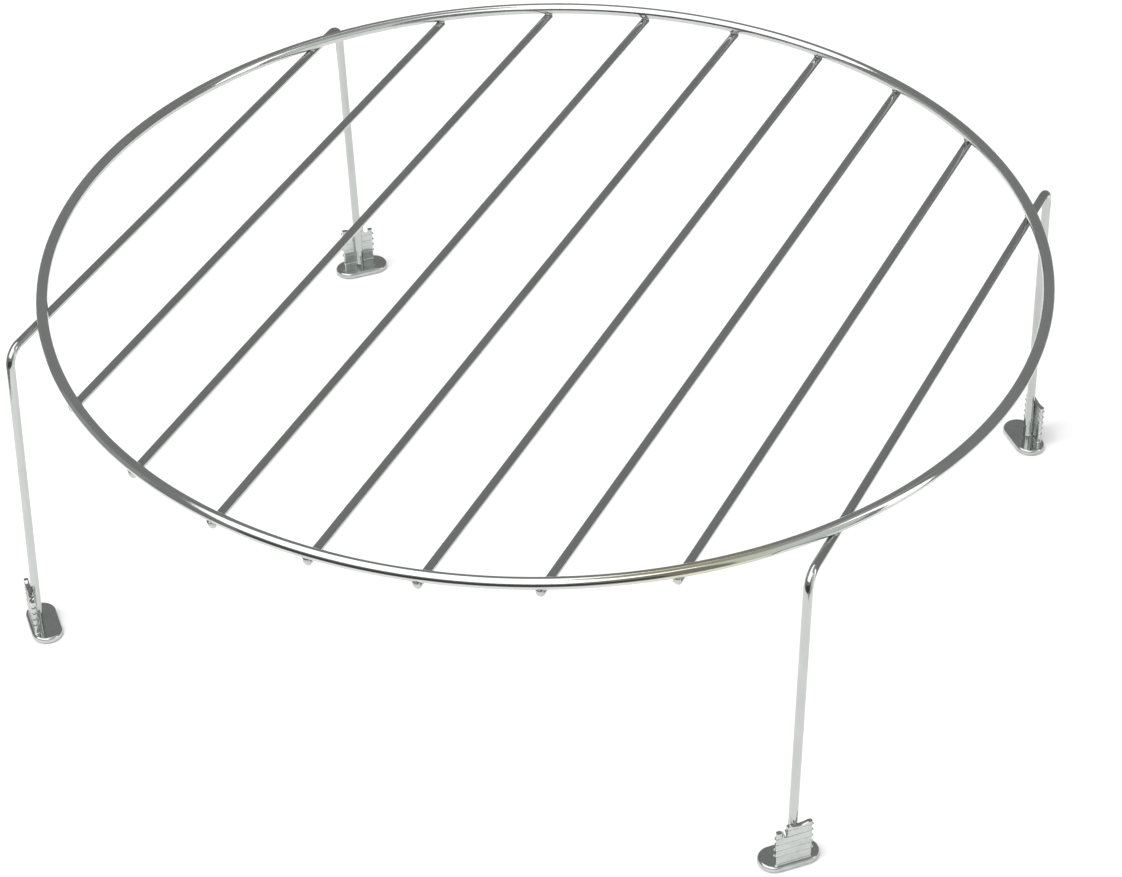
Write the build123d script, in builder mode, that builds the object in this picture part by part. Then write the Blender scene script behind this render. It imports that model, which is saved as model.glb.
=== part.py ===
from build123d import *
import math
import os

# Round wire rack. X runs across the wires, Y along them, Z up.
# The origin is on the floor, under the middle of the ring.

# Driving dimensions, in millimetres and degrees
wire_pitch = 30.0             # spacing of the parallel wires
cross_wire_count = 7          # plain wires between the two leg wires
ring_radius = 144.5           # to the middle of the ring's wire
ring_wire_diameter = 3.4
wire_diameter = 2.6           # cross wires and leg wires
ring_height = 100.4           # floor to the middle of the ring's wire
weld_sink = 0.15              # how far the welding presses a wire into the ring
wire_overhang = 0.4           # cross wire past the middle of the ring's wire
wire_end_chamfer = 0.15       # edge broken by the plating

leg_corner = 98.3             # along Y, where the straight run and the leg would meet
leg_splay = 2.8               # lean of a leg away from the middle, along Y
leg_bend_radius = 5.0         # to the middle of the wire

sole_length = 17.8
sole_width = 9.2
sole_thickness = 1.8
sole_top_round = 0.7
sole_bottom_round = 0.4
sole_inset = 1.5              # middle of the sole, inwards from the leg
leg_pocket = 0.5              # how far the leg's end sinks into the sole
foot_turn = 46.0              # long axis of the sole, from the X axis

plate_length = 10.5
plate_inner = 0.75            # from the leg's axis out to the upright plate's inner face
plate_outer = 2.1             # from the leg's axis out to its outer face
plate_height = 13.2           # above the sole
plate_corner = 0.5
rib_count = 5
rib_pitch = 2.2
rib_drop = 1.1                # top of the plate to the first rib's lower side
rib_reach = 0.5               # past the plate's ends
rib_rise = 0.1                # proud of the plate's faces
rib_height = 0.65
rib_slope = 37.0              # lean of a rib's upper side
rib_corner = 0.6
shoulder_drop = 1.4           # the lower half of the plate's top
shoulder_start = 2.1          # from the leg's axis
scoop_radius = 0.9            # slanted hollow at the foot of the shoulder
scoop_reach = 3.0
dish_radius = 8.0             # hollow in the higher half of the plate's top
dish_depth = 0.42

flash_reach = 1.7             # weld metal around a crossing, as seen from above
flash_thickness = 0.75

# Worked out
ring_wire_radius = ring_wire_diameter / 2
wire_radius = wire_diameter / 2
wire_height = ring_height - ring_wire_radius - wire_radius + weld_sink
leg_wire_x = wire_pitch * (cross_wire_count + 1) / 2
leg_bottom = sole_thickness - leg_pocket
leg_lean = math.tan(math.radians(leg_splay))


def ring_crossing(x):
    """Distance along Y from the middle to the ring's wire, on the line of a wire at x."""
    return math.sqrt(ring_radius**2 - x**2)


def leg_y(height):
    """Distance along Y from the middle to a leg's axis, at a height above the floor."""
    return leg_corner + leg_lean * (wire_height - height)


os.makedirs("parts", exist_ok=True)

# ---------------------------------------------------------------- ring
with BuildPart() as rim_ring:
    with BuildSketch(Plane.XZ) as ring_section:
        with Locations((ring_radius, ring_height)):
            Circle(ring_wire_radius)
    revolve(axis=Axis.Z)
rim_ring.part.label = "rim_ring"
export_step(rim_ring.part, "parts/rim_ring.step")

# ---------------------------------------------------------------- cross wires
cross_wires = []
for number in range(1, cross_wire_count + 1):
    x = wire_pitch * (number - (cross_wire_count + 1) / 2)
    half_length = ring_crossing(x) + wire_overhang
    with BuildPart() as cross_wire:
        with BuildSketch(Plane.XZ) as wire_section:
            with Locations((x, wire_height)):
                Circle(wire_radius)
        extrude(amount=half_length, both=True)
        chamfer(cross_wire.edges().filter_by(GeomType.CIRCLE), wire_end_chamfer)
        add(rim_ring.part, mode=Mode.SUBTRACT)
    name = f"cross_wire_{number}"
    cross_wire.part.label = name
    export_step(cross_wire.part, f"parts/{name}.step")
    cross_wires.append(cross_wire.part)

# ---------------------------------------------------------------- leg wires
leg_wires = {}
for side, sign in (("left", -1), ("right", 1)):
    with BuildPart() as leg_wire:
        with BuildLine(Plane.YZ.offset(sign * leg_wire_x)) as leg_path:
            FilletPolyline(
                (-leg_y(leg_bottom), leg_bottom),
                (-leg_corner, wire_height),
                (leg_corner, wire_height),
                (leg_y(leg_bottom), leg_bottom),
                radius=leg_bend_radius,
            )
        with BuildSketch(Plane(origin=leg_path.line @ 0, z_dir=leg_path.line % 0)) as leg_section:
            Circle(wire_radius)
        sweep()
        add(rim_ring.part, mode=Mode.SUBTRACT)
    name = f"leg_wire_{side}"
    leg_wire.part.label = name
    export_step(leg_wire.part, f"parts/{name}.step")
    leg_wires[side] = leg_wire.part

# ---------------------------------------------------------------- feet
# The pattern foot is for the front right leg: its own X axis runs along the sole, towards the plate's
# higher half, and its own Y axis points in, towards the middle of the rack. The leg is at its origin.
# The plate stands on the sole's outer side, and the leg lies in a shallow groove in its inner face.
with BuildPart() as pattern_foot:
    with BuildSketch() as sole_outline:
        with Locations((0, sole_inset)):
            SlotOverall(sole_length, sole_width)
    extrude(amount=sole_thickness)
    fillet(pattern_foot.faces().sort_by(Axis.Z)[-1].edges(), sole_top_round)
    fillet(pattern_foot.faces().sort_by(Axis.Z)[0].edges(), sole_bottom_round)

    plate_middle = -(plate_inner + plate_outer) / 2
    plate_thickness = plate_outer - plate_inner
    plate_top = sole_thickness + plate_height
    with BuildSketch(Plane.XY.offset(sole_thickness)) as plate_outline:
        with Locations((0, plate_middle)):
            RectangleRounded(plate_length, plate_thickness, plate_corner)
    extrude(amount=plate_height)

    for level in range(rib_count):
        rib_bottom = plate_top - rib_drop - level * rib_pitch
        with BuildSketch(Plane.XY.offset(rib_bottom)) as rib_outline:
            with Locations((0, plate_middle)):
                RectangleRounded(plate_length + 2 * rib_reach, plate_thickness + 2 * rib_rise, rib_corner)
        extrude(amount=rib_height, taper=rib_slope)

    with BuildSketch(Plane.XZ) as top_cut:
        with Locations((-shoulder_start - plate_length / 2, plate_top)):
            Rectangle(plate_length, 2 * shoulder_drop)
        with Locations(((plate_length / 2 - shoulder_start) / 2, plate_top + dish_radius - dish_depth)):
            Circle(dish_radius)
    extrude(amount=plate_length, both=True, mode=Mode.SUBTRACT)

    scoop_start = (-shoulder_start - scoop_radius, plate_middle, plate_top - shoulder_drop)
    with BuildSketch(Plane(origin=scoop_start, z_dir=(0, 1, 1))) as scoop:
        Circle(scoop_radius)
    extrude(amount=scoop_reach, both=True, mode=Mode.SUBTRACT)

for end, end_sign in (("front", -1), ("back", 1)):
    for side, side_sign in (("left", -1), ("right", 1)):
        foot_shape = pattern_foot.part.rotate(Axis.Z, foot_turn)
        foot_shape = foot_shape.moved(Location((leg_wire_x, -leg_y(sole_thickness), 0)))
        if side_sign < 0:
            foot_shape = foot_shape.mirror(Plane.YZ)
        if end_sign > 0:
            foot_shape = foot_shape.mirror(Plane.XZ)
        with BuildPart() as foot:
            add(foot_shape)
            add(leg_wires[side], mode=Mode.SUBTRACT)
        name = f"foot_{end}_{side}"
        foot.part.label = name
        export_step(foot.part, f"parts/{name}.step")

# ---------------------------------------------------------------- weld flash
# A flattened bead at each crossing, with the ring and the wire taken out of it.
crossing_level = ring_height - ring_wire_radius + weld_sink / 2
welds = []
for place in range(cross_wire_count + 2):
    x = wire_pitch * (place - (cross_wire_count + 1) / 2)
    if place == 0:
        wire_part = leg_wires["left"]
    elif place == cross_wire_count + 1:
        wire_part = leg_wires["right"]
    else:
        wire_part = cross_wires[place - 1]
    for sign in (-1, 1):
        with BuildPart() as weld:
            with BuildSketch(Plane.XZ) as bead_section:
                with Locations((0, 0)):
                    Ellipse(flash_reach, flash_thickness)
                split(bisect_by=Plane.YZ)
            revolve(axis=Axis.Z)
        bead = weld.part.moved(Location((x, sign * ring_crossing(x), crossing_level)))
        welds.append(bead - rim_ring.part - wire_part)
weld_flash = Compound(children=[solid for bead in welds for solid in bead.solids()])
weld_flash.label = "weld_flash"
export_step(weld_flash, "parts/weld_flash.step")
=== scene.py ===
"""Finished look of a round wire cooling rack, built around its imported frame.

Each sub-assembly of the rack is a class: it holds its sizes in millimetres, builds its meshes with
bmesh operators, and dresses them in plated metal. The frame says where everything is. X runs across
the wires, Y along them and Z up, and the origin is on the floor under the middle of the ring.
"""

import logging
import math
import random
from dataclasses import dataclass, field
from enum import Enum
from itertools import pairwise

import bmesh
import bpy
from mathutils import Matrix, Vector, noise


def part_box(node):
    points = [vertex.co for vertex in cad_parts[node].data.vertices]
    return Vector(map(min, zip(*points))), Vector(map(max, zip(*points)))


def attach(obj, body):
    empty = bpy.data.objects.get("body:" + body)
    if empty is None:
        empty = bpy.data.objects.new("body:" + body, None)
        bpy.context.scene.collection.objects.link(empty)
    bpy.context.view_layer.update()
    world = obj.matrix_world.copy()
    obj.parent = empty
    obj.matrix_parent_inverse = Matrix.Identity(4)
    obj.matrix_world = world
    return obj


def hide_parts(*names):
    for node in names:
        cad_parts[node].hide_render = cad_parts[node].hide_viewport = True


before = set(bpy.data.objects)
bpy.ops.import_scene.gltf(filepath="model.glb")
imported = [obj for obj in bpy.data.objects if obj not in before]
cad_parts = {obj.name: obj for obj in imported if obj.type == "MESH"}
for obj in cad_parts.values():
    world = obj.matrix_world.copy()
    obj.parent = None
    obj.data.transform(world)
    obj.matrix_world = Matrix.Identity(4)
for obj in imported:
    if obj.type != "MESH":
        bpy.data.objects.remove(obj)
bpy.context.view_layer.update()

BMesh = bmesh.types.BMesh
Socket = bpy.types.NodeSocket
Colour = tuple[float, float, float]
Span = tuple[float, float]

MM = 0.001                        # metres in a millimetre
ROOT = "root"
SECTION_LAYER = "place_on_wire"
DULL_LAYER = "weld_dullness"
# Layer that says where a warm reflection is painted into the plating's colour as a yellow tint.
PAINTED_REFLECTION_LAYER = "painted_warm_reflection"
SAME_PLACE = 1e-3                 # millimetres; points nearer than this are one point
FULL: Span = (0.0, 1.0)
AIM = Vector((0.0, 0.0, 0.09))    # what the studio's panels face, in metres

log = logging.getLogger("cooling_rack")


class Side(Enum):
    """The two sides of the rack, by the sign of X."""

    LEFT = -1
    RIGHT = 1


class End(Enum):
    """The two ends of the rack, by the sign of Y."""

    FRONT = -1
    BACK = 1


class SeenBy(Enum):
    """Which light a studio thing takes part in."""

    ALL_BUT_MIRRORS = "all but mirrors"
    MIRRORS_ONLY = "mirrors only"


# ------------------------------------------------------------ workshop


def frame_box(node: str) -> tuple[Vector, Vector]:
    """The lowest and highest corners of a frame node.

    Args:
        node: the node's name.

    Returns:
        Its two corners, in millimetres.
    """
    low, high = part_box(node)
    return low / MM, high / MM


def spaced(first: float, last: float, steps: int) -> list[float]:
    """Evenly spaced values from the first to the last, both included."""
    return [first + (last - first) * step / steps for step in range(steps + 1)]


def finish_mesh(bm: BMesh, name: str, sharp_angle: float) -> bpy.types.Object:
    """Turns a built shape into a smooth-shaded object at the origin.

    Args:
        bm: the shape, in millimetres; it is freed.
        name: the object's name.
        sharp_angle: edges that fold more than this many degrees stay sharp.

    Returns:
        The new object, in metres.
    """
    bmesh.ops.recalc_face_normals(bm, faces=bm.faces)
    bm.transform(Matrix.Scale(MM, 4))
    for face in bm.faces:
        face.smooth = True
    mesh = bpy.data.meshes.new(name)
    bm.to_mesh(mesh)
    bm.free()
    mesh.set_sharp_from_angle(angle=math.radians(sharp_angle))
    piece = bpy.data.objects.new(name, mesh)
    bpy.context.scene.collection.objects.link(piece)
    return piece


def round_edges(bm: BMesh, edges: list[bmesh.types.BMEdge], radius: float, steps: int) -> None:
    """Rounds edges of a shape.

    Args:
        bm: the shape, in millimetres.
        edges: the edges to round.
        radius: how far the rounding reaches from each edge.
        steps: how many flats make the rounding.
    """
    bmesh.ops.bevel(bm, geom=edges, offset=radius, offset_type="OFFSET", affect="EDGES",
                    segments=steps, profile=0.5, material=-1, clamp_overlap=True)


def apply_modifiers(piece: bpy.types.Object) -> None:
    """Makes a piece's modifiers part of its mesh.

    Args:
        piece: the object, which has no modifiers afterwards.
    """
    ready = piece.evaluated_get(bpy.context.evaluated_depsgraph_get())
    finished = bpy.data.meshes.new_from_object(ready)
    finished.name = piece.name
    piece.modifiers.clear()
    piece.data = finished


def shape_with(piece: bpy.types.Object, tool: bpy.types.Object, operation: str) -> None:
    """Joins another closed shape to a piece, or cuts it out.

    Args:
        piece: the piece to change.
        tool: the other shape, which stays as it is.
        operation: UNION or DIFFERENCE.
    """
    step = piece.modifiers.new("shape", "BOOLEAN")
    step.operation = operation
    step.object = tool
    step.solver = "EXACT"
    apply_modifiers(piece)


def hand_over(piece: bpy.types.Object, material: bpy.types.Material, slot: str,
              *nodes: str) -> None:
    """Dresses a finished piece and puts it in the place of its frame nodes.

    Args:
        piece: the finished piece.
        material: its finish.
        slot: not used.
        nodes: the frame nodes that it stands for.
    """
    piece.data.materials.clear()
    piece.data.materials.append(material)
    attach(piece, ROOT)
    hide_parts(*nodes)
    log.info("%s: %d faces, for %s", piece.name, len(piece.data.polygons), ", ".join(nodes))


# ------------------------------------------------------------ finishes


class NodeBench:
    """Lays out the nodes of one material."""

    def __init__(self, name: str) -> None:
        """Starts an empty material.

        Args:
            name: the material's name.
        """
        self.material = bpy.data.materials.new(name)
        self.material.use_nodes = True
        self.tree = self.material.node_tree
        self.tree.nodes.clear()
        self.shader = self.node("ShaderNodeBsdfPrincipled")
        output = self.node("ShaderNodeOutputMaterial")
        self.link(self.shader.outputs["BSDF"], output.inputs["Surface"])

    def node(self, kind: str, **inputs: float) -> bpy.types.Node:
        """Adds a node.

        Args:
            kind: the node's type.
            inputs: values for its sockets, by name with _ for a space.

        Returns:
            The node.
        """
        made = self.tree.nodes.new(kind)
        for key, value in inputs.items():
            made.inputs[key.replace("_", " ")].default_value = value
        return made

    def link(self, source: Socket, target: Socket) -> None:
        """Joins an output to an input."""
        self.tree.links.new(source, target)

    def attribute(self, layer: str) -> bpy.types.Node:
        """Adds a node that reads one of the mesh's own layers.

        Args:
            layer: the layer's name.

        Returns:
            The node.
        """
        made = self.node("ShaderNodeAttribute")
        made.attribute_name = layer
        return made

    def grain(self, place: Socket, cell: tuple[float, float, float], detail: float,
              roughness: float = 0.5) -> Socket:
        """Adds a noise pattern.

        Args:
            place: where the pattern is read, in metres.
            cell: the size of its largest marks along each axis, in millimetres.
            detail: how many finer octaves it has.
            roughness: how strong the finer octaves are.

        Returns:
            The pattern, about 0 to 1.
        """
        mapping = self.node("ShaderNodeMapping")
        mapping.inputs["Scale"].default_value = [1 / (size * MM) for size in cell]
        self.link(place, mapping.inputs["Vector"])
        pattern = self.node("ShaderNodeTexNoise", Scale=1.0, Detail=detail, Roughness=roughness)
        self.link(mapping.outputs["Vector"], pattern.inputs["Vector"])
        return pattern.outputs["Fac"]

    def spread(self, source: Socket, given: Span, wanted: Span) -> Socket:
        """Maps one range of values onto another, clamped.

        Args:
            source: the value to map.
            given: where the source range starts and ends.
            wanted: what those two become.

        Returns:
            The mapped value.
        """
        ranged = self.node("ShaderNodeMapRange", From_Min=given[0], From_Max=given[1],
                           To_Min=wanted[0], To_Max=wanted[1])
        self.link(source, ranged.inputs["Value"])
        return ranged.outputs["Result"]

    def arithmetic(self, operation: str, first: Socket, second: Socket) -> Socket:
        """Works out one value from two.

        Args:
            operation: what to do, such as ADD or MULTIPLY.
            first: the first value.
            second: the second value.

        Returns:
            The result.
        """
        made = self.node("ShaderNodeMath")
        made.operation = operation
        self.link(first, made.inputs[0])
        self.link(second, made.inputs[1])
        return made.outputs["Value"]

    def total(self, *sources: Socket) -> Socket:
        """Adds values up.

        Args:
            sources: the values.

        Returns:
            Their sum.
        """
        running = sources[0]
        for source in sources[1:]:
            running = self.arithmetic("ADD", running, source)
        return running

    def mixed(self, amount: Socket, plain: Socket | Colour, other: Colour) -> Socket:
        """Mixes two colours.

        Args:
            amount: 0 for the plain colour, 1 for the other.
            plain: the first colour, as a constant or as another mixture.
            other: the second colour.

        Returns:
            The mixed colour.
        """
        mix = self.node("ShaderNodeMix")
        mix.data_type = "RGBA"
        if isinstance(plain, Socket):
            self.link(plain, mix.inputs["A"])
        else:
            mix.inputs["A"].default_value = (*plain, 1.0)
        mix.inputs["B"].default_value = (*other, 1.0)
        self.link(amount, mix.inputs["Factor"])
        return mix.outputs["Result"]

    def plate(self, colour: Socket, roughness: Socket) -> None:
        """Makes the surface bare metal.

        Args:
            colour: the metal's colour.
            roughness: how dull it is.
        """
        self.shader.inputs["Metallic"].default_value = 1.0
        self.link(colour, self.shader.inputs["Base Color"])
        self.link(roughness, self.shader.inputs["Roughness"])

    def raised(self, height: Socket, depth: float) -> None:
        """Raises the surface by a pattern.

        Args:
            height: the pattern.
            depth: the height that 1 stands for, in millimetres.
        """
        bump = self.node("ShaderNodeBump", Strength=1.0, Distance=depth * MM)
        self.link(height, bump.inputs["Height"])
        self.link(bump.outputs["Normal"], self.shader.inputs["Normal"])


@dataclass(frozen=True)
class PlatedWire:
    """Bright plating over drawn wire.

    It has faint lines along the wire, cloudy patches, dull spots at the welds, and a warm
    reflection that is painted in as a yellow tint where a piece asks for one.
    """

    name: str
    bright: Colour = (0.515, 0.530, 0.520)
    cloudy: Colour = (0.465, 0.480, 0.468)
    weld_stain: Colour = (0.330, 0.325, 0.290)
    # The yellow of the painted warm reflection.
    painted_reflection: Colour = (0.520, 0.505, 0.405)
    polish: float = 0.055
    line_roughness: float = 0.05
    cloud_roughness: float = 0.05
    dull_roughness: float = 0.22
    line_width: float = 0.10
    line_length: float = 14.0
    line_span: Span = (0.35, 0.75)
    cloud_size: float = 5.0
    cloud_length: float = 16.0
    cloud_span: Span = (0.4, 0.7)
    cloud_tint_span: Span = (0.45, 0.75)
    speckle_size: float = 0.25
    speckle_span: Span = (0.3, 0.6)
    speckle_least: float = 0.35
    ripple_size: float = 1.1
    line_depth: float = 0.0012
    ripple_depth: float = 0.006

    def material(self) -> bpy.types.Material:
        """Makes the finish.

        Returns:
            A material that reads each point's place on its wire.
        """
        bench = NodeBench(self.name)
        place = bench.attribute(SECTION_LAYER).outputs["Vector"]
        dull = bench.attribute(DULL_LAYER).outputs["Fac"]
        # How much painted warm reflection each point gets.
        reflection_share = bench.attribute(PAINTED_REFLECTION_LAYER).outputs["Fac"]
        line_cell = (self.line_width, self.line_width, self.line_length)
        cloud_cell = (self.cloud_size, self.cloud_size, self.cloud_length)
        lines = bench.grain(place, line_cell, 3.0, 0.6)
        clouds = bench.grain(place, cloud_cell, 4.0)
        ripples = bench.grain(place, (self.ripple_size,) * 3, 1.0)
        speckle = bench.grain(place, (self.speckle_size,) * 3, 3.0)
        spots = bench.arithmetic(
            "MULTIPLY", dull, bench.spread(speckle, self.speckle_span, (self.speckle_least, 1.0)))
        roughness = bench.total(
            bench.spread(lines, self.line_span, (self.polish, self.polish + self.line_roughness)),
            bench.spread(clouds, self.cloud_span, (0.0, self.cloud_roughness)),
            bench.spread(spots, FULL, (0.0, self.dull_roughness)),
        )
        clouded = bench.mixed(
            bench.spread(clouds, self.cloud_tint_span, FULL), self.bright, self.cloudy)
        stained = bench.mixed(spots, clouded, self.weld_stain)
        # Mixes in the painted warm reflection, a yellow tint.
        with_painted_reflection = bench.mixed(reflection_share, stained, self.painted_reflection)
        bench.plate(with_painted_reflection, roughness)
        fine_lines = bench.spread(lines, FULL, (0.0, self.line_depth / self.ripple_depth))
        bench.raised(bench.total(fine_lines, ripples), self.ripple_depth)
        return bench.material


@dataclass(frozen=True)
class WeldSkin:
    """Plating over a resistance weld: darker, pitted and uneven."""

    name: str
    bright: Colour = (0.440, 0.445, 0.430)
    burnt: Colour = (0.200, 0.195, 0.180)
    polish: float = 0.16
    pitted: float = 0.42
    pit_size: float = 0.28
    pit_span: Span = (0.35, 0.7)
    pit_depth: float = 0.035
    swirl_size: float = 0.9
    swirl_span: Span = (0.42, 0.66)

    def material(self) -> bpy.types.Material:
        """Makes the finish.

        Returns:
            A material with pits and swirls of its own scale.
        """
        bench = NodeBench(self.name)
        where = bench.node("ShaderNodeTexCoord").outputs["Object"]
        pits = bench.grain(where, (self.pit_size,) * 3, 4.0, 0.6)
        swirls = bench.grain(where, (self.swirl_size,) * 3, 3.0)
        colour = bench.mixed(bench.spread(swirls, self.swirl_span, FULL), self.bright, self.burnt)
        bench.plate(colour, bench.spread(pits, self.pit_span, (self.polish, self.pitted)))
        bench.raised(pits, self.pit_depth)
        return bench.material


@dataclass(frozen=True)
class PlatedShoe:
    """Bright plating over a moulded foot, with a slight orange peel, scuffs and hair lines."""

    name: str
    bright: Colour = (0.530, 0.548, 0.538)
    smoky: Colour = (0.440, 0.462, 0.450)
    polish: float = 0.12
    scuffed: float = 0.26
    peel_size: float = 0.7
    peel_depth: float = 0.006
    scuff_size: float = 3.2
    scuff_span: Span = (0.5, 0.75)
    smoky_span: Span = (0.45, 0.7)
    hair_width: float = 0.09
    hair_length: float = 5.0
    hair_span: Span = (0.6, 0.75)
    hair_roughness: float = 0.08

    def material(self) -> bpy.types.Material:
        """Makes the finish.

        Returns:
            A material in the rack's own coordinates.
        """
        bench = NodeBench(self.name)
        where = bench.node("ShaderNodeTexCoord").outputs["Object"]
        peel = bench.grain(where, (self.peel_size,) * 3, 2.0)
        scuffs = bench.grain(where, (self.scuff_size,) * 3, 5.0, 0.6)
        hair_cell = (self.hair_width, self.hair_length, self.hair_length)
        hairs = bench.grain(where, hair_cell, 2.0)
        colour = bench.mixed(bench.spread(scuffs, self.smoky_span, FULL), self.bright, self.smoky)
        roughness = bench.total(
            bench.spread(scuffs, self.scuff_span, (self.polish, self.scuffed)),
            bench.spread(hairs, self.hair_span, (0.0, self.hair_roughness)),
        )
        bench.plate(colour, roughness)
        bench.raised(peel, self.peel_depth)
        return bench.material


# ------------------------------------------------------------ wire


class WireRun:
    """A round wire that grows from one cut end to the other.

    The moving end is a face that is extruded along straight runs and spun round bends. Each point
    keeps its place on the wire, two numbers across it and one along it, for the finish to read.
    """

    edge_steps = 4

    def __init__(self, start: Vector, heading: Vector, radius: float, edge: float,
                 sides: int = 36) -> None:
        """Cuts the first end.

        Args:
            start: the middle of the end, in millimetres.
            heading: the way the wire runs.
            radius: the wire's radius.
            edge: how far the cut edge is rounded.
            sides: how many flats the section has.
        """
        self.bm = bmesh.new()
        self.section = self.bm.verts.layers.float_vector.new(SECTION_LAYER)
        self.at = Vector(start)
        self.heading = Vector(heading).normalized()
        self.radius = radius
        self.edge = edge
        self.travelled = 0.0
        turn = Vector((0, 0, 1)).rotation_difference(self.heading).to_matrix().to_4x4()
        made = bmesh.ops.create_circle(self.bm, cap_ends=True, segments=sides, radius=radius,
                                       matrix=Matrix.Translation(self.at) @ turn)
        for vert in made["verts"]:
            offset = turn.inverted() @ (vert.co - self.at)
            vert[self.section] = (offset.x * MM, offset.y * MM, 0.0)
        self.head = self.bm.faces[:][0]
        self._scale_head(radius - edge)
        self._round_edge(outwards=True)

    def _scale_head(self, radius: float) -> None:
        """Shrinks or grows the moving end to a radius."""
        for vert in self.head.verts:
            vert.co = self.at + (vert.co - self.at).normalized() * radius

    def _round_edge(self, outwards: bool) -> None:
        """Grows or shrinks the end over a quarter round.

        Args:
            outwards: True at the first end, False at the last.
        """
        for before, after in pairwise(spaced(0, math.pi / 2, self.edge_steps)):
            if outwards:
                advance = self.edge * (math.cos(before) - math.cos(after))
                radius = self.radius - self.edge * (1 - math.sin(after))
            else:
                advance = self.edge * (math.sin(after) - math.sin(before))
                radius = self.radius - self.edge * (1 - math.cos(after))
            self.forward(advance, steps=1)
            self._scale_head(radius)

    def _take_head(self, grown: list) -> None:
        """Takes the grown face as the moving end, and leaves no wall inside where the last one was.

        Args:
            grown: what the last step made, with one face in it.
        """
        last = self.head
        self.head = next(item for item in grown if isinstance(item, bmesh.types.BMFace))
        if self.travelled > 0:
            bmesh.ops.delete(self.bm, geom=[last], context="FACES_ONLY")

    def _mark(self, distance: float) -> None:
        """Writes how far along the wire the moving end is."""
        self.travelled += distance
        for vert in self.head.verts:
            across = vert[self.section]
            vert[self.section] = (across.x, across.y, self.travelled * MM)

    def forward(self, length: float, steps: int) -> None:
        """Extrudes the moving end straight on.

        Args:
            length: how far.
            steps: in how many stretches.
        """
        for _ in range(steps):
            grown = bmesh.ops.extrude_face_region(self.bm, geom=[self.head])["geom"]
            self._take_head(grown)
            move = self.heading * (length / steps)
            bmesh.ops.translate(self.bm, verts=self.head.verts[:], vec=move)
            self.at += move
            self._mark(length / steps)

    def bend(self, towards: Vector, radius: float, angle: float, steps: int) -> None:
        """Spins the moving end round a bend.

        Args:
            towards: the side that the wire bends to, at right angles to its heading.
            radius: the bend's radius, to the middle of the wire.
            angle: how far it turns, in radians.
            steps: in how many stretches.
        """
        centre = self.at + towards.normalized() * radius
        axis = self.heading.cross(towards).normalized()
        stretch = angle / steps
        for _ in range(steps):
            spun = bmesh.ops.spin(
                self.bm, geom=[self.head], cent=centre, axis=axis, angle=stretch, steps=1,
                use_duplicate=False, use_merge=False)["geom_last"]
            self._take_head(spun)
            turn = Matrix.Rotation(stretch, 3, axis)
            self.at = centre + turn @ (self.at - centre)
            self.heading = turn @ self.heading
            self._mark(radius * stretch)

    def finish(self) -> BMesh:
        """Rounds the last cut edge.

        Returns:
            The closed wire.
        """
        self._round_edge(outwards=False)
        return self.bm


def dull_near_welds(bm: BMesh, welds: list[Vector], reach: float, fading: float = 1.5) -> None:
    """Marks how near each point is to a weld, for the finish.

    Args:
        bm: the wire, in millimetres.
        welds: where the welds are.
        reach: how far the dullness spreads.
        fading: how steeply it fades, as a power.
    """
    layer = bm.verts.layers.float.new(DULL_LAYER)
    for vert in bm.verts:
        nearest = min((vert.co - weld).length for weld in welds)
        vert[layer] = max(0.0, 1.0 - nearest / reach) ** fading


# ------------------------------------------------------------ the rack


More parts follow.
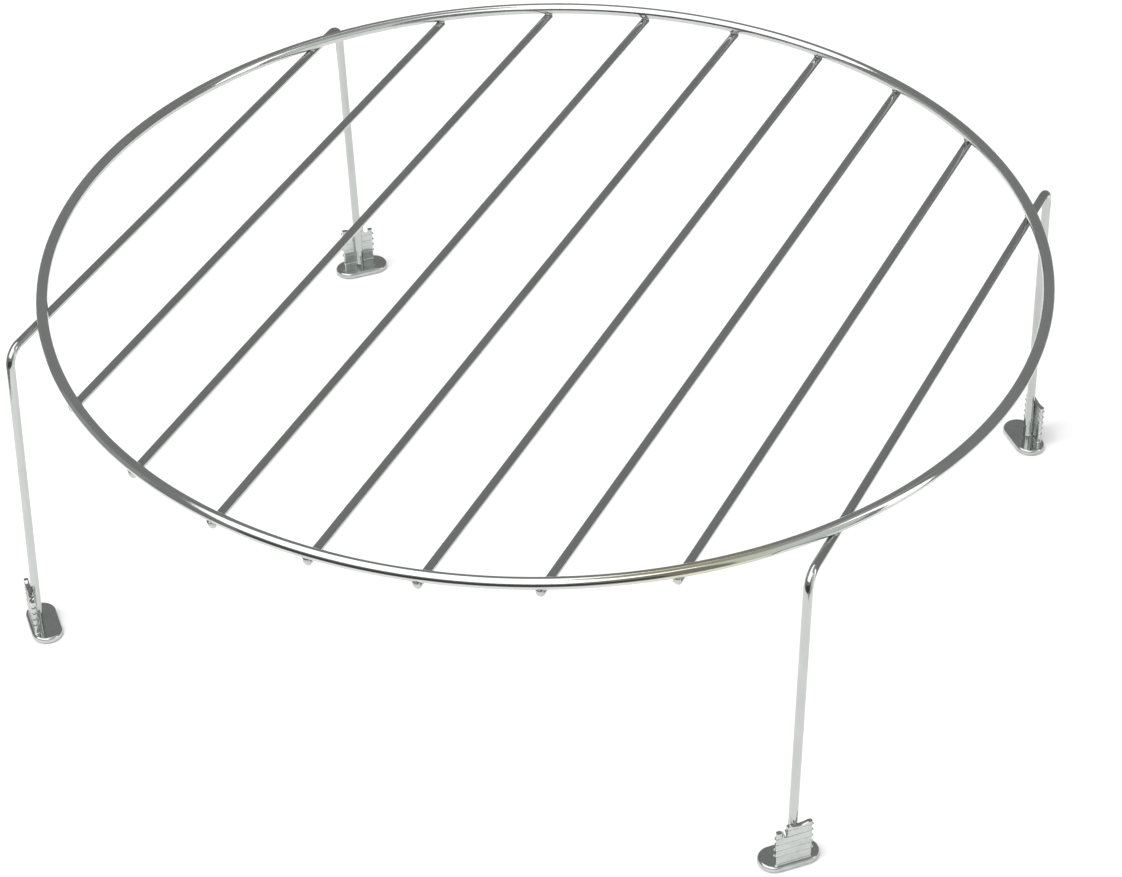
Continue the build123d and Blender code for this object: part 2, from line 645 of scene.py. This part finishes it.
@dataclass
class RimRing:
    """The heavy ring round the top, one wire butt-welded into a hoop.

    Angles are in degrees from +X towards +Y: the butt weld's, a small dull scuff's, and those of a
    short stretch where a warm reflection is painted into the plating as a yellow tint.
    """

    sides: int = 40
    steps: int = 420
    seam_angle: float = 176.2
    scuff_angle: float = 165.6
    # Where the painted warm reflection sits on the ring, and how far it spreads.
    painted_reflection_angle: float = -50.0
    painted_reflection_spread: float = 15.0
    seam_half_width: float = 0.9
    seam_steps: int = 14
    seam_neck: float = 0.08
    weld_reach: float = 3.6
    sharp_fold: float = 60.0
    radius: float = field(init=False)
    wire_radius: float = field(init=False)
    height: float = field(init=False)

    def __post_init__(self) -> None:
        """Takes the ring's sizes from the frame."""
        low, high = frame_box("rim_ring")
        self.wire_radius = (high.z - low.z) / 2
        self.height = (high.z + low.z) / 2
        self.radius = (high.x - low.x) / 2 - self.wire_radius

    def crossing(self, x: float) -> float:
        """Distance along Y to the middle of the ring's wire, at a distance across."""
        return math.sqrt(self.radius**2 - x**2)

    def middle_at(self, turn: float) -> Vector:
        """The middle of the ring's wire, at an angle in radians."""
        out = Vector((math.cos(turn), math.sin(turn), 0))
        return out * self.radius + Vector((0, 0, self.height))

    def build(self, finish: PlatedWire, welds: list[Vector]) -> bpy.types.Object:
        """Spins the ring and grinds its butt weld.

        Args:
            finish: the ring's plating.
            welds: where wires are welded to it.

        Returns:
            The finished ring.
        """
        seam = math.radians(self.seam_angle)
        scuff = math.radians(self.scuff_angle)
        bm = self._hoop(seam)
        self._grind_seam(bm, seam)
        marks = [self.middle_at(seam), self.middle_at(scuff)]
        dull_near_welds(bm, [*welds, *marks], self.weld_reach)
        self._paint_reflection(bm)
        ring = finish_mesh(bm, "hoop", self.sharp_fold)
        hand_over(ring, finish.material(), "ring_chrome", "rim_ring")
        return ring

    def _hoop(self, seam: float) -> BMesh:
        """Spins the wire's section round the hoop, in finer steps across the butt weld.

        Args:
            seam: the butt weld's angle, in radians.

        Returns:
            The closed hoop.
        """
        bm = bmesh.new()
        upright = (Matrix.Translation((self.radius, 0, self.height))
                   @ Matrix.Rotation(math.pi / 2, 4, "X"))
        bmesh.ops.create_circle(bm, cap_ends=False, segments=self.sides, radius=self.wire_radius,
                                matrix=upright)
        seam_turn = 2 * self.seam_half_width / self.radius
        bmesh.ops.rotate(bm, verts=bm.verts[:], cent=(0, 0, 0),
                         matrix=Matrix.Rotation(seam - seam_turn / 2, 3, "Z"))
        section = bm.edges[:]
        for angle, steps in ((seam_turn, self.seam_steps), (2 * math.pi - seam_turn, self.steps)):
            section = bmesh.ops.spin(bm, geom=section, cent=(0, 0, 0), axis=(0, 0, 1), angle=angle,
                                     steps=steps, use_duplicate=False, use_merge=False)["geom_last"]
        bmesh.ops.remove_doubles(bm, verts=bm.verts[:], dist=SAME_PLACE)
        return bm

    def _grind_seam(self, bm: BMesh, seam: float) -> None:
        """Writes each point's place on the wire, and necks the wire at its ground butt weld.

        Args:
            bm: the hoop, in millimetres.
            seam: the butt weld's angle, in radians.
        """
        section = bm.verts.layers.float_vector.new(SECTION_LAYER)
        for vert in bm.verts:
            turn = math.atan2(vert.co.y, vert.co.x)
            middle = self.middle_at(turn)
            offset = vert.co - middle
            outwards = math.hypot(vert.co.x, vert.co.y) - self.radius
            along = (turn - seam) * self.radius
            vert[section] = (outwards * MM, offset.z * MM, along * MM)
            if abs(along) < self.seam_half_width:
                neck = math.cos(along / self.seam_half_width * math.pi / 2) ** 2
                vert.co = middle + offset * (1 - self.seam_neck / self.wire_radius * neck)

    def _paint_reflection(self, bm: BMesh) -> None:
        """Marks the short stretch where a warm reflection is painted in as a yellow tint, strongest
        in its middle.
        """
        layer = bm.verts.layers.float.new(PAINTED_REFLECTION_LAYER)
        for vert in bm.verts:
            turn = math.degrees(math.atan2(vert.co.y, vert.co.x))
            away = abs(turn - self.painted_reflection_angle) / self.painted_reflection_spread
            vert[layer] = math.cos(away * math.pi / 2) ** 2 if away < 1 else 0.0


@dataclass
class CrossWires:
    """The straight wires that food rests on, welded under the ring."""

    count: int = 7
    cut_edge: float = 0.15
    stretch: float = 4.0
    weld_reach: float = 3.2
    sharp_fold: float = 50.0

    def places(self) -> list[tuple[str, Vector, float]]:
        """Where each wire is.

        Returns:
            For each wire, its frame node, the middle of its front end and its radius.
        """
        found = []
        for number in range(1, self.count + 1):
            node = f"cross_wire_{number}"
            low, high = frame_box(node)
            middle = (low + high) / 2
            found.append((node, Vector((middle.x, low.y, middle.z)), (high.x - low.x) / 2))
        return found

    def build(self, finish: PlatedWire, welds: list[Vector]) -> list[bpy.types.Object]:
        """Draws each wire from its front end to its back end.

        Args:
            finish: the wires' plating.
            welds: where they are welded.

        Returns:
            The finished wires.
        """
        material = finish.material()
        wires = []
        for number, (node, start, radius) in enumerate(self.places(), 1):
            length = -2 * start.y
            run = WireRun(start, Vector((0, 1, 0)), radius, self.cut_edge)
            straight = length - 2 * self.cut_edge
            run.forward(straight, steps=round(straight / self.stretch))
            bm = run.finish()
            dull_near_welds(bm, welds, self.weld_reach)
            wire = finish_mesh(bm, f"bar_{number}", self.sharp_fold)
            hand_over(wire, material, "wire_chrome", node)
            wires.append(wire)
        return wires


@dataclass
class LegHoops:
    """The two outer wires, whose ends are bent down into legs."""

    corner: float = 98.3
    splay: float = 2.8
    bend_radius: float = 5.0
    bend_steps: int = 18
    cut_edge: float = 0.12
    stretch: float = 4.0
    weld_reach: float = 3.2
    sharp_fold: float = 50.0

    def wire(self, side: Side) -> tuple[float, float, float, float]:
        """One wire's sizes, from the frame.

        Args:
            side: which wire.

        Returns:
            Its distance across, radius, height at the top, and the height of its lower ends.
        """
        low, high = frame_box(f"leg_wire_{side.name.lower()}")
        radius = (high.x - low.x) / 2
        lean = math.radians(self.splay)
        return (low.x + high.x) / 2, radius, high.z - radius, low.z + radius * math.sin(lean)

    def axis_at(self, side: Side, end: End, height: float) -> Vector:
        """Where a leg's axis passes a height.

        Args:
            side: the leg's side.
            end: the leg's end.
            height: the height above the floor.

        Returns:
            The place on the floor under it.
        """
        x, _, top, _ = self.wire(side)
        y = self.corner + math.tan(math.radians(self.splay)) * (top - height)
        return Vector((x, end.value * y, 0))

    def build(self, finish: PlatedWire, welds: list[Vector]) -> dict[Side, bpy.types.Object]:
        """Bends each wire from its front foot to its back foot.

        Args:
            finish: the wires' plating.
            welds: where they are welded.

        Returns:
            The finished wires, by side.
        """
        material = finish.material()
        wires = {}
        lean = math.radians(self.splay)
        turn = math.pi / 2 - lean
        cut_back = self.bend_radius * math.tan(turn / 2)
        for side in Side:
            x, radius, top, bottom = self.wire(side)
            leg_length = (top - bottom) / math.cos(lean)
            foot_y = self.corner + math.tan(lean) * (top - bottom)
            start = Vector((x, -foot_y, bottom))
            run = WireRun(start, Vector((0, math.sin(lean), math.cos(lean))), radius, self.cut_edge)
            leg = leg_length - cut_back - self.cut_edge
            run.forward(leg, steps=round(leg / self.stretch))
            inwards = Vector((0, math.cos(lean), -math.sin(lean)))
            run.bend(inwards, self.bend_radius, turn, self.bend_steps)
            top_run = 2 * (self.corner - cut_back)
            run.forward(top_run, steps=round(top_run / self.stretch))
            run.bend(Vector((0, 0, -1)), self.bend_radius, turn, self.bend_steps)
            run.forward(leg, steps=round(leg / self.stretch))
            bm = run.finish()
            dull_near_welds(bm, welds, self.weld_reach)
            name = side.name.lower()
            wire = finish_mesh(bm, f"leg_hoop_{name}", self.sharp_fold)
            hand_over(wire, material, "wire_chrome", f"leg_wire_{name}")
            wires[side] = wire
        return wires


@dataclass
class WeldBeads:
    """The metal squeezed out where each wire was pressed and welded to the ring."""

    reach: float = 1.7
    thickness: float = 0.75
    reach_share: Span = (0.90, 0.99)
    width_share: Span = (0.88, 1.0)
    thickness_share: float = 0.95
    unevenness: float = 0.16
    lump_size: float = 1.1
    lump_level: float = 0.5
    sides: int = 36
    rings: int = 18
    sharp_fold: float = 70.0
    seed: int = 7

    def build(self, finish: WeldSkin, welds: list[Vector]) -> bpy.types.Object:
        """Makes one flattened, uneven bead at each crossing.

        Args:
            finish: the beads' skin.
            welds: where the crossings are.

        Returns:
            The finished beads, as one piece.
        """
        bm = bmesh.new()
        draw = random.Random(self.seed)
        for weld in welds:
            made = bmesh.ops.create_uvsphere(bm, u_segments=self.sides, v_segments=self.rings,
                                             radius=1.0)["verts"]
            reach = self.reach * draw.uniform(*self.reach_share)
            turned = Matrix.Rotation(draw.uniform(0, math.pi), 4, "Z")
            width = reach * draw.uniform(*self.width_share)
            flattened = Matrix.Diagonal((reach, width, self.thickness * self.thickness_share, 1.0))
            bmesh.ops.transform(bm, verts=made,
                                matrix=Matrix.Translation(weld) @ turned @ flattened)
            for vert in made:
                lump = self.lump_level + noise.noise(vert.co / self.lump_size)
                vert.co = weld + (vert.co - weld) * (1 - self.unevenness * lump)
        beads = finish_mesh(bm, "weld_beads", self.sharp_fold)
        hand_over(beads, finish.material(), "weld_metal", "weld_flash")
        return beads


@dataclass
class Shoes:
    """The four plated feet: an oblong sole, and a ribbed upright that the leg lies against."""

    sole_length: float = 17.8
    sole_width: float = 9.2
    sole_thickness: float = 1.8
    sole_top_round: float = 0.7
    sole_bottom_round: float = 0.4
    sole_inset: float = 1.5
    turn: float = 46.0
    plate_length: float = 10.5
    plate_inner: float = 0.75
    plate_outer: float = 2.1
    plate_height: float = 13.2
    plate_corner: float = 0.5
    rib_count: int = 5
    rib_pitch: float = 2.2
    rib_drop: float = 1.1
    rib_reach: float = 0.5
    rib_rise: float = 0.1
    rib_height: float = 0.65
    rib_draw: float = 0.52
    rib_corner: float = 0.6
    shoulder_drop: float = 1.4
    shoulder_start: float = 2.1
    scoop_radius: float = 0.9
    scoop_reach: float = 3.0
    dish_radius: float = 8.0
    dish_depth: float = 0.42
    edge_round: float = 0.10
    root_fillet: float = 0.45
    root_sink: float = 0.3
    corner_steps: int = 6
    dish_sides: int = 240
    scoop_sides: int = 48
    sole_sides: int = 72
    sole_top_steps: int = 8
    sole_bottom_steps: int = 5
    edge_steps: int = 2
    sharp_fold: float = 35.0
    merge_gap: float = 2e-3
    cut_gap: float = 1e-5
    plate_middle: float = field(init=False)
    plate_thickness: float = field(init=False)
    plate_top: float = field(init=False)

    def __post_init__(self) -> None:
        """Works out the plate's middle, thickness and top."""
        self.plate_middle = -(self.plate_inner + self.plate_outer) / 2
        self.plate_thickness = self.plate_outer - self.plate_inner
        self.plate_top = self.sole_thickness + self.plate_height

    def sole(self) -> BMesh:
        """Makes the oblong sole, with rounded rims.

        Returns:
            The closed sole, with the leg's axis at the origin.
        """
        bm = bmesh.new()
        half_step = Matrix.Rotation(math.pi / self.sole_sides, 4, "Z")
        bmesh.ops.create_circle(bm, cap_ends=True, segments=self.sole_sides,
                                radius=self.sole_width / 2, matrix=half_step)
        reach = (self.sole_length - self.sole_width) / 2
        for vert in bm.verts:
            vert.co += Vector((math.copysign(reach, vert.co.x), self.sole_inset, 0))
        top = bmesh.ops.extrude_face_region(bm, geom=bm.faces[:])["geom"]
        top_verts = [item for item in top if isinstance(item, bmesh.types.BMVert)]
        bmesh.ops.translate(bm, verts=top_verts, vec=(0, 0, self.sole_thickness))
        for level, rounding, steps in (
                (self.sole_thickness, self.sole_top_round, self.sole_top_steps),
                (0.0, self.sole_bottom_round, self.sole_bottom_steps)):
            rim = [edge for edge in bm.edges
                   if all(abs(vert.co.z - level) < SAME_PLACE for vert in edge.verts)]
            round_edges(bm, rim, rounding, steps)
        return bm

    def slab(self, bm: BMesh, length: float, thickness: float, low: float,
             height: float, corner: float) -> list[bmesh.types.BMVert]:
        """Adds a flat upright slab with rounded corners in plan.

        Args:
            bm: the shape that it joins.
            length: its size along the sole.
            thickness: its size across the sole.
            low: the height of its lower side.
            height: how tall it is.
            corner: the radius of its upright edges.

        Returns:
            The slab's points.
        """
        others = set(bm.verts)
        made = bmesh.ops.create_cube(bm, size=1.0)["verts"]
        bmesh.ops.scale(bm, verts=made, vec=(length, thickness, height))
        bmesh.ops.translate(bm, verts=made, vec=(0, self.plate_middle, low + height / 2))
        upright = [edge for edge in bm.edges if edge.verts[0] not in others
                   and abs(edge.verts[0].co.z - edge.verts[1].co.z) > SAME_PLACE]
        round_edges(bm, upright, corner, self.corner_steps)
        return [vert for vert in bm.verts if vert not in others]

    def plate(self) -> BMesh:
        """Makes the plain upright plate."""
        bm = bmesh.new()
        self.slab(bm, self.plate_length, self.plate_thickness,
                  self.sole_thickness - self.root_sink, self.plate_height + self.root_sink,
                  self.plate_corner)
        return bm

    def ribs(self) -> BMesh:
        """Makes the ribs that run round the plate, each sloping in towards its top.

        Returns:
            The ribs, as separate closed collars.
        """
        bm = bmesh.new()
        for level in range(self.rib_count):
            low = self.plate_top - self.rib_drop - level * self.rib_pitch
            length = self.plate_length + 2 * self.rib_reach
            thickness = self.plate_thickness + 2 * self.rib_rise
            verts = self.slab(bm, length, thickness, low, self.rib_height, self.rib_corner)
            for vert in verts:
                if vert.co.z > low + self.rib_height / 2:
                    across = vert.co.y - self.plate_middle
                    vert.co.x *= 1 - 2 * self.rib_draw / length
                    vert.co.y = self.plate_middle + across * (1 - 2 * self.rib_draw / thickness)
        return bm

    def top_tools(self) -> dict[str, BMesh]:
        """Makes the tools that shape the plate's top: a step, a dish and a slanted scoop.

        Returns:
            The tools, by name.
        """
        step = bmesh.new()
        bmesh.ops.create_cube(step, size=1.0)
        bmesh.ops.scale(step, verts=step.verts[:],
                        vec=(self.plate_length, self.plate_length, 2 * self.shoulder_drop))
        step_x = -self.shoulder_start - self.plate_length / 2
        bmesh.ops.translate(step, verts=step.verts[:],
                            vec=(step_x, self.plate_middle, self.plate_top))
        dish_x = (self.plate_length / 2 - self.shoulder_start) / 2
        dish_z = self.plate_top + self.dish_radius - self.dish_depth
        dish = self._rod((dish_x, self.plate_middle, dish_z), math.pi / 2,
                         self.dish_radius, self.plate_length, self.dish_sides)
        scoop_x = -self.shoulder_start - self.scoop_radius
        scoop_z = self.plate_top - self.shoulder_drop
        scoop = self._rod((scoop_x, self.plate_middle, scoop_z), -math.pi / 4,
                          self.scoop_radius, 2 * self.scoop_reach, self.scoop_sides)
        return {"step": step, "dish": dish, "scoop": scoop}

    def _rod(self, place: tuple[float, float, float], tilt: float, radius: float, length: float,
             sides: int) -> BMesh:
        """Makes a round rod that cuts a hollow.

        Args:
            place: its middle.
            tilt: how far it is turned from upright about X, in radians.
            radius: its radius.
            length: its length.
            sides: how many flats it has.

        Returns:
            The closed rod.
        """
        bm = bmesh.new()
        stance = Matrix.Translation(place) @ Matrix.Rotation(tilt, 4, "X")
        bmesh.ops.create_cone(bm, cap_ends=True, segments=sides, radius1=radius, radius2=radius,
                              depth=length, matrix=stance)
        return bm

    def pattern(self) -> bpy.types.Object:
        """Makes the upright of the front right foot, with its ribs on and its top shaped.

        Returns:
            The upright, still sharp-edged, with the leg's axis at the origin.
        """
        upright = finish_mesh(self.plate(), "upright", self.sharp_fold)
        ribs = finish_mesh(self.ribs(), "upright_ribs", self.sharp_fold)
        shape_with(upright, ribs, "UNION")
        bpy.data.objects.remove(ribs)
        for name, tool in self.top_tools().items():
            cutter = finish_mesh(tool, name, self.sharp_fold)
            shape_with(upright, cutter, "DIFFERENCE")
            bpy.data.objects.remove(cutter)
        return upright

    def soften(self, upright: bpy.types.Object) -> BMesh:
        """Breaks the upright's edges and spreads its root into a fillet on the sole.

        Args:
            upright: the shaped upright.

        Returns:
            The finished upright, in millimetres.
        """
        bm = bmesh.new()
        bm.from_mesh(upright.data)
        bm.transform(Matrix.Scale(1 / MM, 4))
        bmesh.ops.remove_doubles(bm, verts=bm.verts[:], dist=self.merge_gap)
        sharp = [edge for edge in bm.edges if edge.is_manifold
                 and edge.calc_face_angle_signed(0) > math.radians(self.sharp_fold)]
        round_edges(bm, sharp, self.edge_round, self.edge_steps)
        for angle in spaced(0, math.pi / 2, self.corner_steps):
            height = self.sole_thickness + self.root_fillet * (1 - math.cos(angle))
            bmesh.ops.bisect_plane(bm, geom=[*bm.verts, *bm.edges, *bm.faces],
                                   dist=self.cut_gap, plane_co=(0, 0, height), plane_no=(0, 0, 1))
        for vert in bm.verts:
            above = max(0.0, vert.co.z - self.sole_thickness)
            below = self.root_fillet - above
            if below > 0:
                outwards = self.root_fillet - math.sqrt(self.root_fillet**2 - below**2)
                across = vert.co.y - self.plate_middle
                vert.co.x *= 1 + outwards / (self.plate_length / 2)
                vert.co.y = self.plate_middle + across * (1 + outwards / (self.plate_thickness / 2))
        return bm

    def build(self, finish: PlatedShoe, legs: LegHoops,
              hoops: dict[Side, bpy.types.Object]) -> list[bpy.types.Object]:
        """Joins sole and upright, turns each foot to its corner, and lets the leg's end into it.

        Args:
            finish: the feet's plating.
            legs: where the legs stand.
            hoops: the finished leg wires, by side.

        Returns:
            The finished feet.
        """
        material = finish.material()
        pattern = self.pattern()
        feet = []
        for end in End:
            for side in Side:
                name = f"{end.name.lower()}_{side.name.lower()}"
                stand = legs.axis_at(side, end, self.sole_thickness)
                place = (Matrix.Translation(stand)
                         @ Matrix.Diagonal((side.value, -end.value, 1.0, 1.0))
                         @ Matrix.Rotation(math.radians(self.turn), 4, "Z"))
                parts = []
                for shape, part_name in ((self.sole(), "sole"), (self.soften(pattern), "upright")):
                    shape.transform(place)
                    parts.append(finish_mesh(shape, f"{part_name}_{name}", self.sharp_fold))
                foot, upright = parts
                foot.name = f"shoe_{name}"
                shape_with(foot, upright, "UNION")
                shape_with(foot, hoops[side], "DIFFERENCE")
                bpy.data.objects.remove(upright)
                self._even_shading(foot)
                hand_over(foot, material, "foot_plate", f"foot_{name}")
                feet.append(foot)
        bpy.data.objects.remove(pattern)
        return feet

    def _even_shading(self, foot: bpy.types.Object) -> None:
        """Keeps the flats flat and the rounded edges smooth."""
        foot.data.set_sharp_from_angle(angle=math.radians(self.sharp_fold))
        weighted = foot.modifiers.new("even shading", "WEIGHTED_NORMAL")
        weighted.keep_sharp = True
        apply_modifiers(foot)


# ------------------------------------------------------------ studio


def direction(azimuth: float, elevation: float) -> Vector:
    """The way from the rack to a place round it.

    Args:
        azimuth: degrees from +X towards +Y.
        elevation: degrees above the floor.

    Returns:
        The direction, one unit long.
    """
    turn, lift = math.radians(azimuth), math.radians(elevation)
    flat = math.cos(lift)
    return Vector((math.cos(turn) * flat, math.sin(turn) * flat, math.sin(lift)))


def show_to(thing: bpy.types.Object, seen_by: SeenBy) -> None:
    """Sets which rays meet a studio thing.

    Args:
        thing: the floor, card or light.
        seen_by: the light that it takes part in.
    """
    thing.visible_glossy = seen_by is SeenBy.MIRRORS_ONLY
    for ray in ("camera", "diffuse", "transmission", "volume_scatter", "shadow"):
        setattr(thing, f"visible_{ray}", seen_by is SeenBy.ALL_BUT_MIRRORS)


def hang(bm: BMesh, name: str, material: bpy.types.Material, seen_by: SeenBy) -> None:
    """Adds a sheet of the studio.

    Args:
        bm: the sheet, in metres; it is freed.
        name: its name.
        material: what it is made of.
        seen_by: the light that it takes part in.
    """
    mesh = bpy.data.meshes.new(name)
    bm.to_mesh(mesh)
    bm.free()
    mesh.materials.append(material)
    sheet = bpy.data.objects.new(name, mesh)
    bpy.context.scene.collection.objects.link(sheet)
    show_to(sheet, seen_by)


@dataclass(frozen=True)
class Panel:
    """A flat soft light or card that hangs round the rack and faces it."""

    name: str
    azimuth: float
    elevation: float
    width: float
    height: float
    radiance: float
    distance: float = 2.5
    slide: float = 0.0
    colour: Colour = (1.0, 1.0, 1.0)

    def place(self) -> Matrix:
        """Where the panel hangs, with its -Z towards the rack, slid up in its own plane."""
        away = direction(self.azimuth, self.elevation)
        facing = away.to_track_quat("Z", "Y").to_matrix().to_4x4()
        hung = Matrix.Translation(AIM + away * self.distance) @ facing
        return hung @ Matrix.Translation((0, self.slide, 0))

    def as_light(self) -> bpy.types.Object:
        """Hangs the panel as an area light."""
        light = bpy.data.lights.new(self.name, "AREA")
        light.shape = "RECTANGLE"
        light.size = self.width
        light.size_y = self.height
        light.color = self.colour
        light.energy = self.radiance * math.pi * self.width * self.height
        lamp = bpy.data.objects.new(self.name, light)
        lamp.matrix_world = self.place()
        lamp.visible_camera = False
        bpy.context.scene.collection.objects.link(lamp)
        return lamp

    def as_card(self) -> None:
        """Hangs the panel as a card that only the plating mirrors."""
        bm = bmesh.new()
        bmesh.ops.create_grid(bm, x_segments=1, y_segments=1, size=0.5)
        bmesh.ops.scale(bm, verts=bm.verts[:], vec=(self.width, self.height, 1))
        bm.transform(self.place())
        material = bpy.data.materials.new(self.name)
        material.use_nodes = True
        tree = material.node_tree
        tree.nodes.clear()
        glow = tree.nodes.new("ShaderNodeEmission")
        glow.inputs["Color"].default_value = (*self.colour, 1.0)
        glow.inputs["Strength"].default_value = self.radiance
        output = tree.nodes.new("ShaderNodeOutputMaterial")
        tree.links.new(glow.outputs["Emission"], output.inputs["Surface"])
        hang(bm, self.name, material, SeenBy.MIRRORS_ONLY)


@dataclass
class Studio:
    """A plain pale floor under one large soft light, in a grey room.

    The plating mirrors a small round table in place of the wide floor, and cards that light
    nothing.
    """

    room: float = 0.29
    backdrop: float = 1.0
    paper: Colour = (0.95, 0.955, 0.95)
    paper_roughness: float = 0.9
    paper_shine: float = 0.1
    tooth_size: float = 0.6
    tooth_depth: float = 0.01
    sheet_sides: int = 128
    floor_radius: float = 8.0
    table_radius: float = 0.29
    table_lift: float = 0.0001
    floor_drop: float = 0.0001
    key: Panel = Panel("key_light", azimuth=-98, elevation=62, width=3.85, height=5.1,
                       radiance=1.78, slide=0.79)
    lamps: tuple[Panel, ...] = (
        Panel("high_lamp", azimuth=-115, elevation=66, width=0.28, height=0.28, radiance=16.0,
              distance=1.6),
        Panel("low_lamp", azimuth=-145, elevation=38, width=0.6, height=0.6, radiance=5.0,
              distance=1.8),
    )
    cards: tuple[Panel, ...] = (
        Panel("side_window", azimuth=10, elevation=12, width=0.5, height=3.4, radiance=2.3,
              distance=2.4),
        Panel("side_wall", azimuth=-15, elevation=14, width=1.3, height=4.6, radiance=0.85,
              colour=(0.93, 1.0, 0.95)),
        Panel("ceiling", azimuth=15, elevation=68, width=2.0, height=1.8, radiance=0.45,
              colour=(1.0, 0.98, 0.93)),
        Panel("left_wall", azimuth=-165, elevation=2, width=1.3, height=2.2, radiance=0.42),
        Panel("dark_room", azimuth=-85, elevation=-7, width=4.2, height=1.4, radiance=0.08,
              distance=2.3),
    )

    def build(self) -> None:
        """Sets up the room, the lights, the cards and the floor."""
        bpy.context.scene.view_settings.view_transform = "Standard"
        self._room()
        self.key.as_light()
        for lamp in self.lamps:
            lamp.as_light().visible_glossy = False
        for card in self.cards:
            card.as_card()
        paper = self._paper()
        self._disc("floor", self.floor_radius, -self.floor_drop, paper, SeenBy.ALL_BUT_MIRRORS)
        self._disc("table", self.table_radius, self.table_lift, paper, SeenBy.MIRRORS_ONLY)

    def _room(self) -> None:
        """Lights the room an even grey, with a pale backdrop behind the floor."""
        world = bpy.data.worlds.new("room")
        world.use_nodes = True
        bpy.context.scene.world = world
        tree = world.node_tree
        tree.nodes.clear()
        path = tree.nodes.new("ShaderNodeLightPath")
        mix = tree.nodes.new("ShaderNodeMixShader")
        tree.links.new(path.outputs["Is Camera Ray"], mix.inputs[0])
        for socket, level in ((mix.inputs[1], self.room), (mix.inputs[2], self.backdrop)):
            background = tree.nodes.new("ShaderNodeBackground")
            background.inputs["Strength"].default_value = level
            background.inputs["Color"].default_value = (1.0, 1.0, 1.0, 1.0)
            tree.links.new(background.outputs["Background"], socket)
        output = tree.nodes.new("ShaderNodeOutputWorld")
        tree.links.new(mix.outputs["Shader"], output.inputs["Surface"])

    def _paper(self) -> bpy.types.Material:
        """Makes the floor's matt paper, with a faint tooth."""
        bench = NodeBench("paper")
        where = bench.node("ShaderNodeTexCoord").outputs["Object"]
        tooth = bench.grain(where, (self.tooth_size,) * 3, 3.0)
        bench.shader.inputs["Base Color"].default_value = (*self.paper, 1.0)
        bench.shader.inputs["Roughness"].default_value = self.paper_roughness
        bench.shader.inputs["Specular IOR Level"].default_value = self.paper_shine
        bench.raised(tooth, self.tooth_depth)
        return bench.material

    def _disc(self, name: str, radius: float, height: float, material: bpy.types.Material,
              seen_by: SeenBy) -> None:
        """Lays one round sheet of the floor.

        Args:
            name: the sheet's name.
            radius: its radius, in metres.
            height: its height, in metres.
            material: its paper.
            seen_by: the light that it takes part in.
        """
        bm = bmesh.new()
        bmesh.ops.create_circle(bm, cap_ends=True, segments=self.sheet_sides, radius=radius,
                                matrix=Matrix.Translation((0, 0, height)))
        hang(bm, name, material, seen_by)


@dataclass(frozen=True)
class Viewpoint:
    """Where the rack is looked at from.

    The aim and distance are in millimetres, the near clip in metres and the angles in degrees. The
    heading is how far the camera has gone round from the front, clockwise seen from above if it is
    above zero.
    """

    aim: tuple[float, float, float] = (11.64, -15.76, 50.0)
    distance: float = 933.88
    heading: float = -25.352
    elevation: float = 37.637
    roll: float = -0.954
    lens: float = 101.90
    near_clip: float = 0.05

    def build(self) -> None:
        """Sets up the camera."""
        data = bpy.data.cameras.new("camera")
        data.lens = self.lens
        data.clip_start = self.near_clip
        camera = bpy.data.objects.new("camera", data)
        bpy.context.scene.collection.objects.link(camera)
        away = direction(-90 - self.heading, self.elevation)
        facing = away.to_track_quat("Z", "Y").to_matrix().to_4x4()
        spot = (Vector(self.aim) + away * self.distance) * MM
        rolled = Matrix.Rotation(math.radians(self.roll), 4, "Z")
        camera.matrix_world = Matrix.Translation(spot) @ facing @ rolled
        bpy.context.scene.camera = camera


def main() -> None:
    """Builds the rack class by class, then the studio."""
    rim = RimRing()
    cross = CrossWires()
    legs = LegHoops()
    places = cross.places()
    leg_places = [legs.wire(side)[0] for side in Side]
    across = sorted([start.x for _, start, _ in places] + leg_places)
    wire_top = places[0][1].z + places[0][2]
    ring_bottom = rim.height - rim.wire_radius
    level = (wire_top + ring_bottom) / 2
    welds = [Vector((x, end.value * rim.crossing(x), level)) for x in across for end in End]
    # The ring gets a lighter copy of the wire plating: the extra lightness is painted light for the
    # brighter reflections the ring shows, and its yellow is the painted warm reflection.
    ring_plating = PlatedWire("ring_plating", bright=(0.585, 0.600, 0.590),
                              cloudy=(0.530, 0.545, 0.535), painted_reflection=(0.605, 0.588, 0.478))
    rim.build(ring_plating, welds)
    cross.build(PlatedWire("bar_plating"), welds)
    hoops = legs.build(PlatedWire("leg_plating"), welds)
    WeldBeads().build(WeldSkin("weld_skin"), welds)
    Shoes().build(PlatedShoe("shoe_plating"), legs, hoops)
    Studio().build()
    Viewpoint().build()


if __name__ == "__main__":
    logging.basicConfig(level=logging.INFO, format="%(name)s: %(message)s")
    main()
